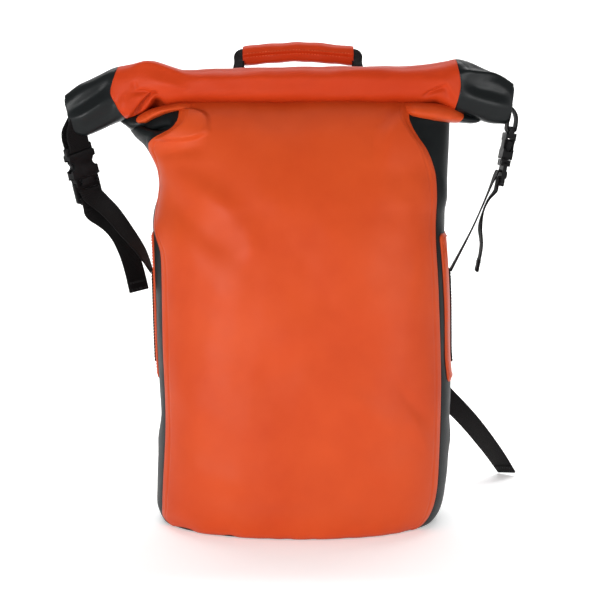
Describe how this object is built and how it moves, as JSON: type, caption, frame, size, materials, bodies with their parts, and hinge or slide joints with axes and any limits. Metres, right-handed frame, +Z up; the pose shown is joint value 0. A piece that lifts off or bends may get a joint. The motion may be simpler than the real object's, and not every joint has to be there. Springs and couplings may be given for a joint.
{
  "type": "dry bag",
  "caption": "Roll-top dry bag backpack in orange and black coated fabric, with side-release buckles, carry handle and shoulder straps.",
  "frame": {"origin": "centre of the flat base, on the surface the bag stands on", "axes": "+Z up, the front of the bag faces -Y, +X to the right when looking at the front"},
  "size_m": [0.4991, 0.2923, 0.4975],
  "materials": {
    "orange_tarpaulin": "PVC-coated polyester, satin",
    "black_tarpaulin": "PVC-coated polyester, satin",
    "black_webbing": "woven polypropylene webbing",
    "black_padding": "padded spacer mesh",
    "black_acetal": "moulded acetal, fine grain",
    "stiffener_plastic": "plain extruded strip"
  },
  "bodies": {
    "root": {"front_panel": "orange_tarpaulin", "back_panel": "orange_tarpaulin", "side_panel_left": "black_tarpaulin", "side_panel_right": "black_tarpaulin", "base_panel": "black_tarpaulin", "roll_center": "orange_tarpaulin", "roll_end_left": "black_tarpaulin", "roll_end_right": "black_tarpaulin", "closure_stiffener": "stiffener_plastic", "side_patch_left": "orange_tarpaulin", "side_patch_right": "orange_tarpaulin", "sewn_strip_left": "black_webbing", "sewn_strip_right": "black_webbing", "side_strap_left": "black_webbing", "side_strap_right": "black_webbing", "buckle_loop_left": "black_webbing", "buckle_loop_right": "black_webbing", "buckle_female_left": "black_acetal", "buckle_female_right": "black_acetal", "handle_anchor": "black_webbing", "yoke_patch": "black_tarpaulin", "back_pad": "black_padding", "corner_tab_left": "black_tarpaulin", "corner_tab_right": "black_tarpaulin", "lower_webbing_left": "black_webbing", "lower_webbing_right": "black_webbing"},
    "handle": {"handle_webbing": "black_webbing", "handle_sleeve": "orange_tarpaulin"},
    "left_buckle_male": {"buckle_male_left": "black_acetal", "strap_wrap_left": "black_webbing"},
    "left_prong_front": {"prong_front_left": "black_acetal"},
    "left_prong_rear": {"prong_rear_left": "black_acetal"},
    "left_strap_tail": {"strap_tail_left": "black_webbing"},
    "right_buckle_male": {"buckle_male_right": "black_acetal", "strap_wrap_right": "black_webbing"},
    "right_prong_front": {"prong_front_right": "black_acetal"},
    "right_prong_rear": {"prong_rear_right": "black_acetal"},
    "right_strap_tail": {"strap_tail_right": "black_webbing"},
    "left_shoulder_strap": {"shoulder_pad_left": "black_padding", "pad_webbing_left": "black_webbing", "ladder_lock_left": "black_acetal"},
    "left_lower_tail": {"lower_tail_left": "black_webbing"},
    "right_shoulder_strap": {"shoulder_pad_right": "black_padding", "pad_webbing_right": "black_webbing", "ladder_lock_right": "black_acetal"},
    "right_lower_tail": {"lower_tail_right": "black_webbing"}
  },
  "joints": [
    {"name": "left_buckle_release", "type": "slide", "parent": "root", "child": "left_buckle_male", "axis": [0.1866, 0.2079, -0.9602], "range_m": [0, 0.02], "deforming": ["side_strap_left"]},
    {"name": "left_prong_front_pinch", "type": "hinge", "parent": "left_buckle_male", "child": "left_prong_front", "pos_m": [-0.2315, -0.01245, 0.35349], "axis": [-0.6863, 0.7269, 0.024], "range_deg": [0, 15.5]},
    {"name": "left_prong_rear_pinch", "type": "hinge", "parent": "left_buckle_male", "child": "left_prong_rear", "pos_m": [-0.21801, 0.00012, 0.35883], "axis": [0.6863, -0.7269, -0.024], "range_deg": [0, 15.5]},
    {"name": "left_tail_swing", "type": "hinge", "parent": "left_buckle_male", "child": "left_strap_tail", "pos_m": [-0.21793, -0.00305, 0.3316], "axis": [0.7029, 0.6545, 0.2784], "range_deg": [0, 45]},
    {"name": "right_buckle_release", "type": "slide", "parent": "root", "child": "right_buckle_male", "axis": [-0.1736, 0, -0.9848], "range_m": [0, 0.02], "deforming": ["side_strap_right"]},
    {"name": "right_prong_front_pinch", "type": "hinge", "parent": "right_buckle_male", "child": "right_prong_front", "pos_m": [0.2083, -0.0096, 0.37406], "axis": [-0.9848, 0, 0.1736], "range_deg": [0, 15.5]},
    {"name": "right_prong_rear_pinch", "type": "hinge", "parent": "right_buckle_male", "child": "right_prong_rear", "pos_m": [0.2083, 0.0096, 0.37406], "axis": [0.9848, 0, -0.1736], "range_deg": [0, 15.5]},
    {"name": "right_tail_swing", "type": "hinge", "parent": "right_buckle_male", "child": "right_strap_tail", "pos_m": [0.20092, 0, 0.34947], "axis": [0, -1, 0], "range_deg": [0, 45]},
    {"name": "handle_swing", "type": "hinge", "parent": "root", "child": "handle", "pos_m": [-0.005, 0.052, 0.444], "axis": [-1, 0, 0], "range_deg": [0, 85]},
    {"name": "left_shoulder_strap_swing", "type": "hinge", "parent": "root", "child": "left_shoulder_strap", "pos_m": [-0.038, 0.092, 0.368], "axis": [1, 0, 0], "range_deg": [0, 30], "deforming": ["lower_webbing_left"]},
    {"name": "left_lower_tail_swing", "type": "hinge", "parent": "left_shoulder_strap", "child": "left_lower_tail", "pos_m": [-0.101, 0.127, 0.184], "axis": [1, 0, 0], "range_deg": [0, 45]},
    {"name": "right_shoulder_strap_swing", "type": "hinge", "parent": "root", "child": "right_shoulder_strap", "pos_m": [0.038, 0.092, 0.368], "axis": [1, 0, 0], "range_deg": [0, 30], "deforming": ["lower_webbing_right"]},
    {"name": "right_lower_tail_swing", "type": "hinge", "parent": "right_shoulder_strap", "child": "right_lower_tail", "pos_m": [0.101, 0.127, 0.184], "axis": [1, 0, 0], "range_deg": [0, 45]}
  ],
  "couplings": [
    {"joint": "left_prong_front_pinch", "follows": "left_buckle_release", "rad_per_m": 13.09},
    {"joint": "left_prong_rear_pinch", "follows": "left_buckle_release", "rad_per_m": 13.09},
    {"joint": "right_prong_front_pinch", "follows": "right_buckle_release", "rad_per_m": 13.09},
    {"joint": "right_prong_rear_pinch", "follows": "right_buckle_release", "rad_per_m": 13.09}
  ]
}
